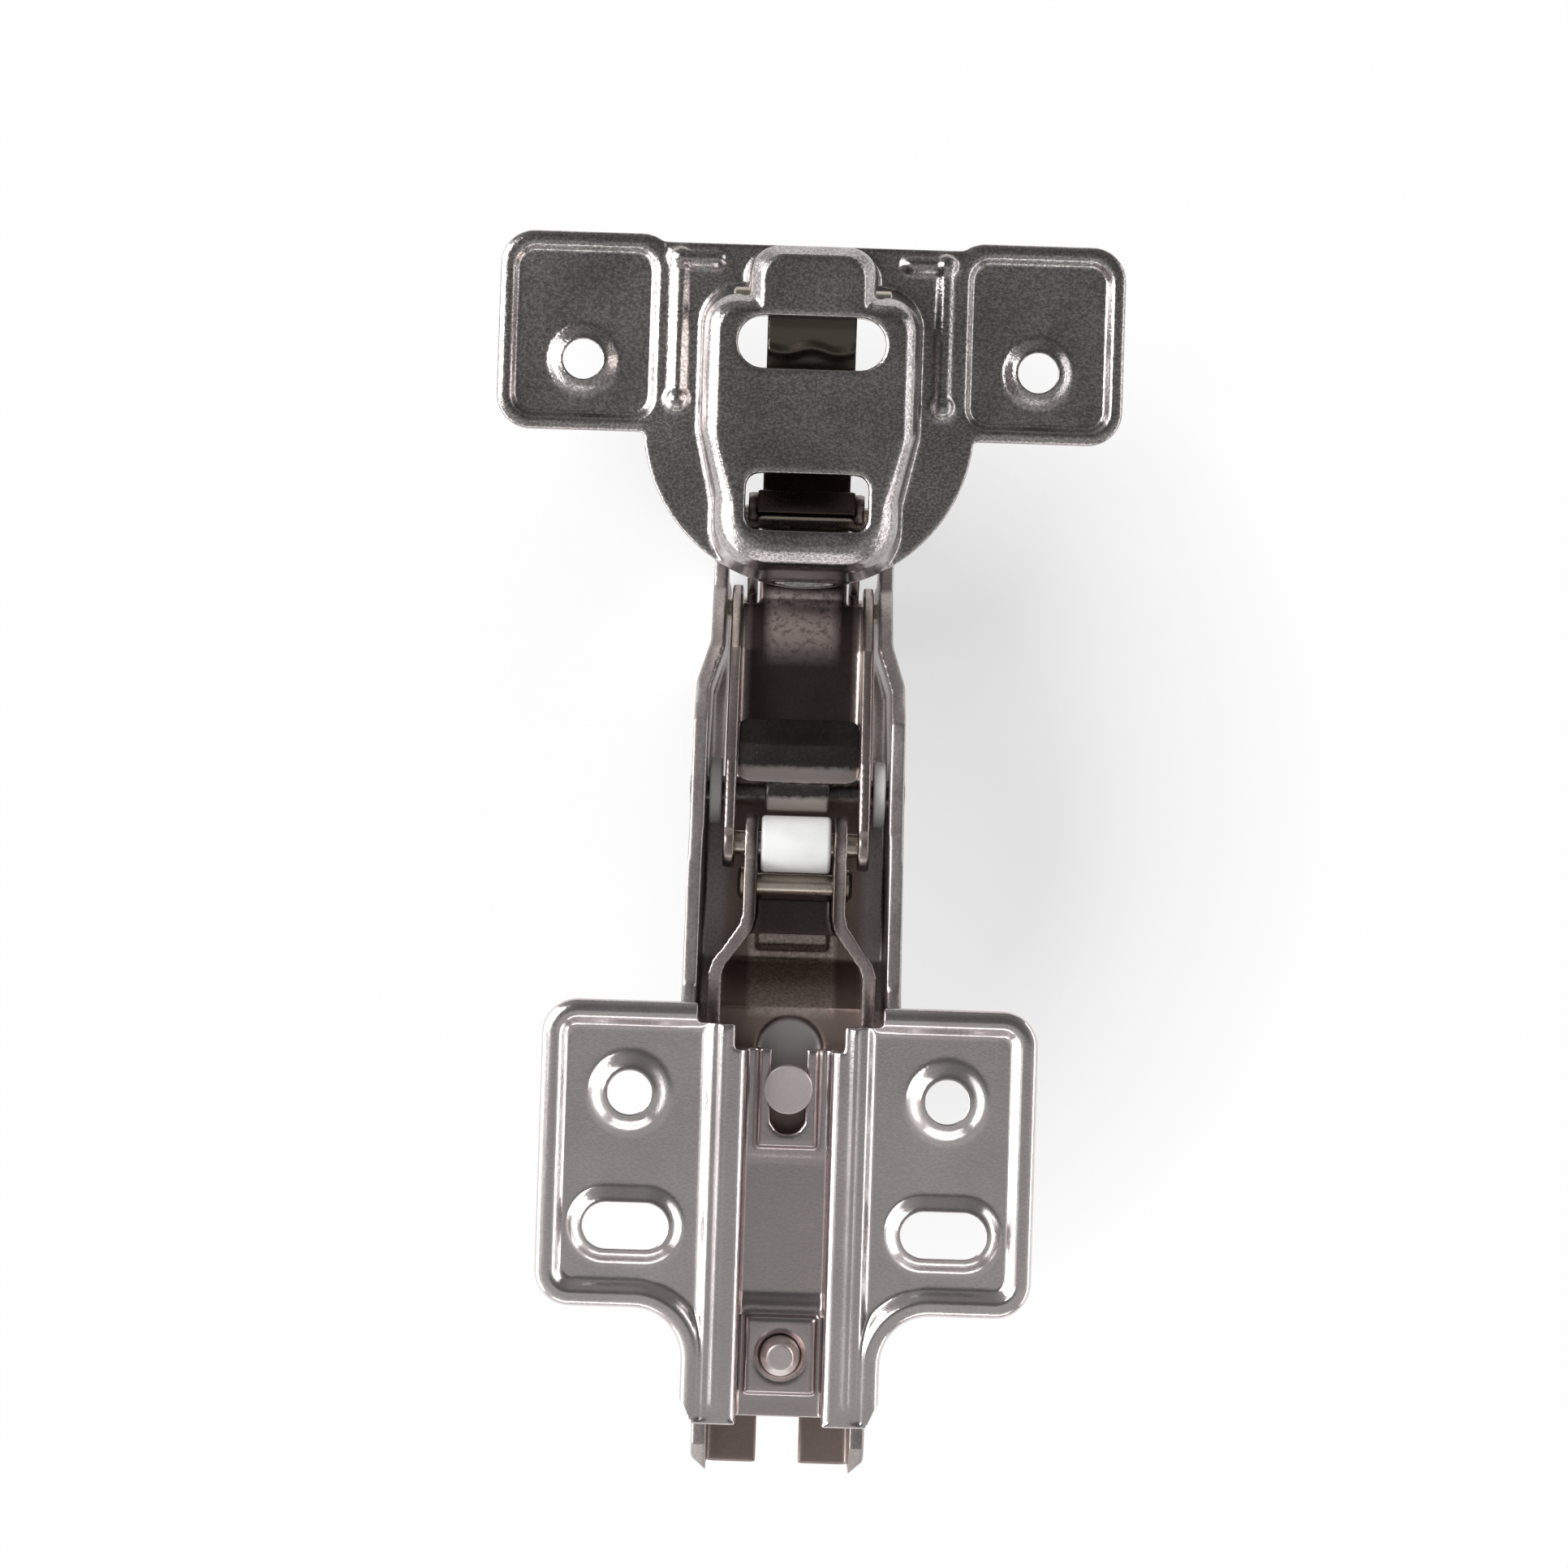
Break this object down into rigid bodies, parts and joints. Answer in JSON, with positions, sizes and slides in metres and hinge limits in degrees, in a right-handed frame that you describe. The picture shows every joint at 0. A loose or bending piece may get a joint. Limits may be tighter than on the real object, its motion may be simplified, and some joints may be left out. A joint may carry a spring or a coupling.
{
  "type": "cabinet hinge",
  "caption": "Concealed long-arm cabinet hinge: drilled-in cup with wings, linked arm with spring fork and nylon roller, on a screw-on plate with depth adjustment; shown open.",
  "frame": {"origin": "on the mounting face of the plate, midway between its two round screw holes", "axes": "+Y from the plate towards the cup, +Z out of the mounting face into the cabinet side, +X across the hinge"},
  "size_m": [0.066, 0.1279, 0.0329],
  "materials": {
    "nickel_plate": "satin nickel plate",
    "nickel_arm": "satin nickel plate",
    "nickel_cup": "satin nickel plate",
    "nickel_link": "nickel plate",
    "nickel_fork": "nickel plate",
    "spring_steel": "dark tempered steel",
    "nylon": "white nylon",
    "pin_steel": "bright turned steel",
    "screw_steel": "zinc plate"
  },
  "bodies": {
    "plate": {"mounting_plate": "nickel_plate"},
    "arm": {"arm": "nickel_arm", "left_nose_rivet": "pin_steel", "right_nose_rivet": "pin_steel", "inner_link_axle": "spring_steel", "left_washer": "nylon", "right_washer": "nylon"},
    "inner_link": {"inner_link": "nickel_link", "leaf_spring": "spring_steel", "roller_axle": "pin_steel"},
    "cup": {"hinge_cup": "nickel_cup", "cup_front_pin": "pin_steel", "cup_rear_pin": "pin_steel"},
    "outer_link": {"outer_link": "nickel_link"},
    "spring_fork": {"spring_fork": "nickel_fork", "fork_pin": "pin_steel"},
    "roller": {"nylon_roller": "nylon"},
    "adjusting_screw": {"adjusting_screw": "screw_steel"},
    "fixing_screw": {"fixing_screw": "screw_steel", "fixing_washer": "screw_steel"}
  },
  "joints": [
    {"name": "depth_slide", "type": "slide", "parent": "plate", "child": "arm", "axis": [0, 1, 0], "range_m": [-0.002, 0.002]},
    {"name": "door_fold", "type": "hinge", "parent": "arm", "child": "inner_link", "pos_m": [0, 0.0309, -0.011], "axis": [-1, 0, 0], "range_deg": [0, 40.6]},
    {"name": "cup_turn", "type": "hinge", "parent": "inner_link", "child": "cup", "pos_m": [0, 0.0818, -0.01], "axis": [-1, 0, 0], "range_deg": [0, 49.33]},
    {"name": "outer_link_turn", "type": "hinge", "parent": "arm", "child": "outer_link", "pos_m": [0, 0.051, -0.029], "axis": [-1, 0, 0], "range_deg": [0, 39.95]},
    {"name": "fork_turn", "type": "hinge", "parent": "inner_link", "child": "spring_fork", "pos_m": [0, 0.0255, -0.008], "axis": [1, 0, 0], "range_deg": [0, 48.7]},
    {"name": "roller_spin", "type": "hinge", "parent": "inner_link", "child": "roller", "pos_m": [0, 0.0255, -0.008], "axis": [1, 0, 0], "continuous": true},
    {"name": "adjusting_screw_turn", "type": "hinge", "parent": "arm", "child": "adjusting_screw", "pos_m": [0, 0.0005, -0.012], "axis": [0, 0, 1], "continuous": true},
    {"name": "fixing_screw_turn", "type": "hinge", "parent": "plate", "child": "fixing_screw", "pos_m": [0, -0.0266, -0.012], "axis": [0, 0, 1], "continuous": true}
  ],
  "couplings": [
    {"joint": "cup_turn", "follows": "door_fold", "ratio": 1.2151},
    {"joint": "outer_link_turn", "follows": "door_fold", "ratio": 0.984},
    {"joint": "fork_turn", "follows": "door_fold", "ratio": 1.2}
  ]
}
